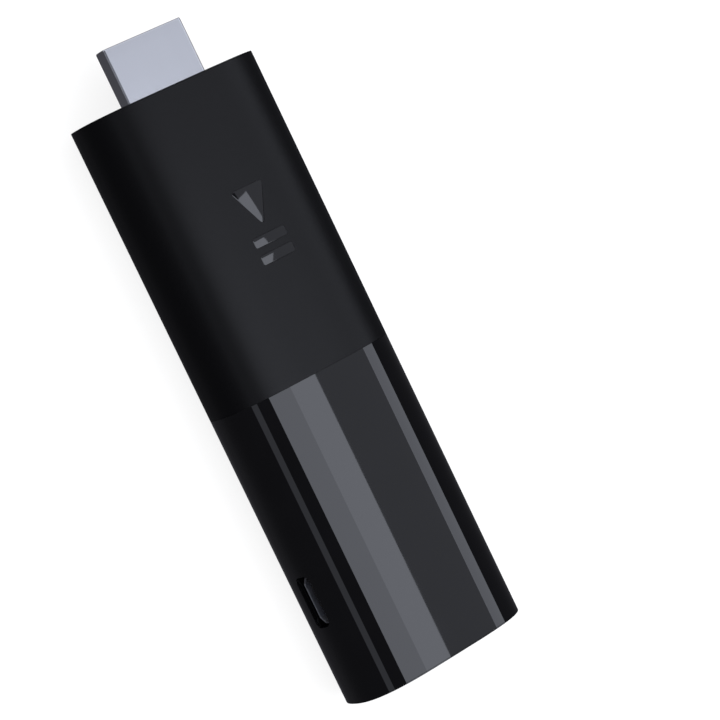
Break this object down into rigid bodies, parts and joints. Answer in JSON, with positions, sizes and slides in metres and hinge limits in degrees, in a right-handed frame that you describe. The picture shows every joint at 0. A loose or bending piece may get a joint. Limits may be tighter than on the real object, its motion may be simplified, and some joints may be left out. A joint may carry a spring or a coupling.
{
  "type": "streaming media player",
  "caption": "Stick-shaped media player with a flattened oval casing, half matte and half glossy, an HDMI plug at one end and a micro USB socket in one long side.",
  "frame": {"origin": "middle of the bounding box's bottom face; the player lies on its back", "axes": "+Y along the HDMI plug, away from the body; +Z the normal of the front face; +X completes the right-handed frame, so the micro USB socket is on the -X side"},
  "size_m": [0.0302, 0.1012, 0.0152],
  "materials": {
    "matte_casing": "fine satin texture",
    "plug_end_cap": "fine satin texture",
    "gloss_casing": "high gloss",
    "end_cap": "satin",
    "sign": "high gloss",
    "inner_plastic": "matte",
    "board": "solder mask, satin",
    "connector_shell": "bright nickel plate",
    "connector_insulator": "satin",
    "contact_gold": "gold plate",
    "shield_tin": "tin plate",
    "thermal_pad": "soft, matte",
    "heat_spreader": "blasted",
    "ferrite": "matte",
    "capacitor": "satin",
    "chip": "fine moulded texture"
  },
  "bodies": {
    "root": {"clock_crystal": "shield_tin", "end_cap": "end_cap", "flash_chip": "chip", "gloss_sleeve": "gloss_casing", "hdmi_contact_01": "contact_gold", "hdmi_contact_02": "contact_gold", "hdmi_contact_03": "contact_gold", "hdmi_contact_04": "contact_gold", "hdmi_contact_05": "contact_gold", "hdmi_contact_06": "contact_gold", "hdmi_contact_07": "contact_gold", "hdmi_contact_08": "contact_gold", "hdmi_contact_09": "contact_gold", "hdmi_contact_10": "contact_gold", "hdmi_contact_11": "contact_gold", "hdmi_contact_12": "contact_gold", "hdmi_contact_13": "contact_gold", "hdmi_contact_14": "contact_gold", "hdmi_contact_15": "contact_gold", "hdmi_contact_16": "contact_gold", "hdmi_contact_17": "contact_gold", "hdmi_contact_18": "contact_gold", "hdmi_contact_19": "contact_gold", "hdmi_guard_chip": "chip", "hdmi_insulator": "connector_insulator", "hdmi_shell": "connector_shell", "input_capacitor": "capacitor", "joint_ring": "inner_plastic", "left_antenna": "shield_tin", "lower_carrier": "inner_plastic", "lower_heat_spreader": "heat_spreader", "lower_shield": "shield_tin", "lower_thermal_pad": "thermal_pad", "main_board": "board", "matte_sleeve": "matte_casing", "memory_chip_1": "chip", "memory_chip_2": "chip", "plug_end_cap": "plug_end_cap", "power_chip": "chip", "power_inductor_1": "ferrite", "power_inductor_2": "ferrite", "power_inductor_3": "ferrite", "processor": "chip", "processor_pad": "thermal_pad", "radio_module": "shield_tin", "right_antenna": "shield_tin", "sign_inlay": "sign", "upper_carrier": "inner_plastic", "upper_heat_spreader": "heat_spreader", "upper_shield": "shield_tin", "upper_thermal_pad": "thermal_pad", "usb_contact_1": "contact_gold", "usb_contact_2": "contact_gold", "usb_contact_3": "contact_gold", "usb_contact_4": "contact_gold", "usb_contact_5": "contact_gold", "usb_shell": "connector_shell", "usb_tongue": "connector_insulator"}
  },
  "joints": []
}
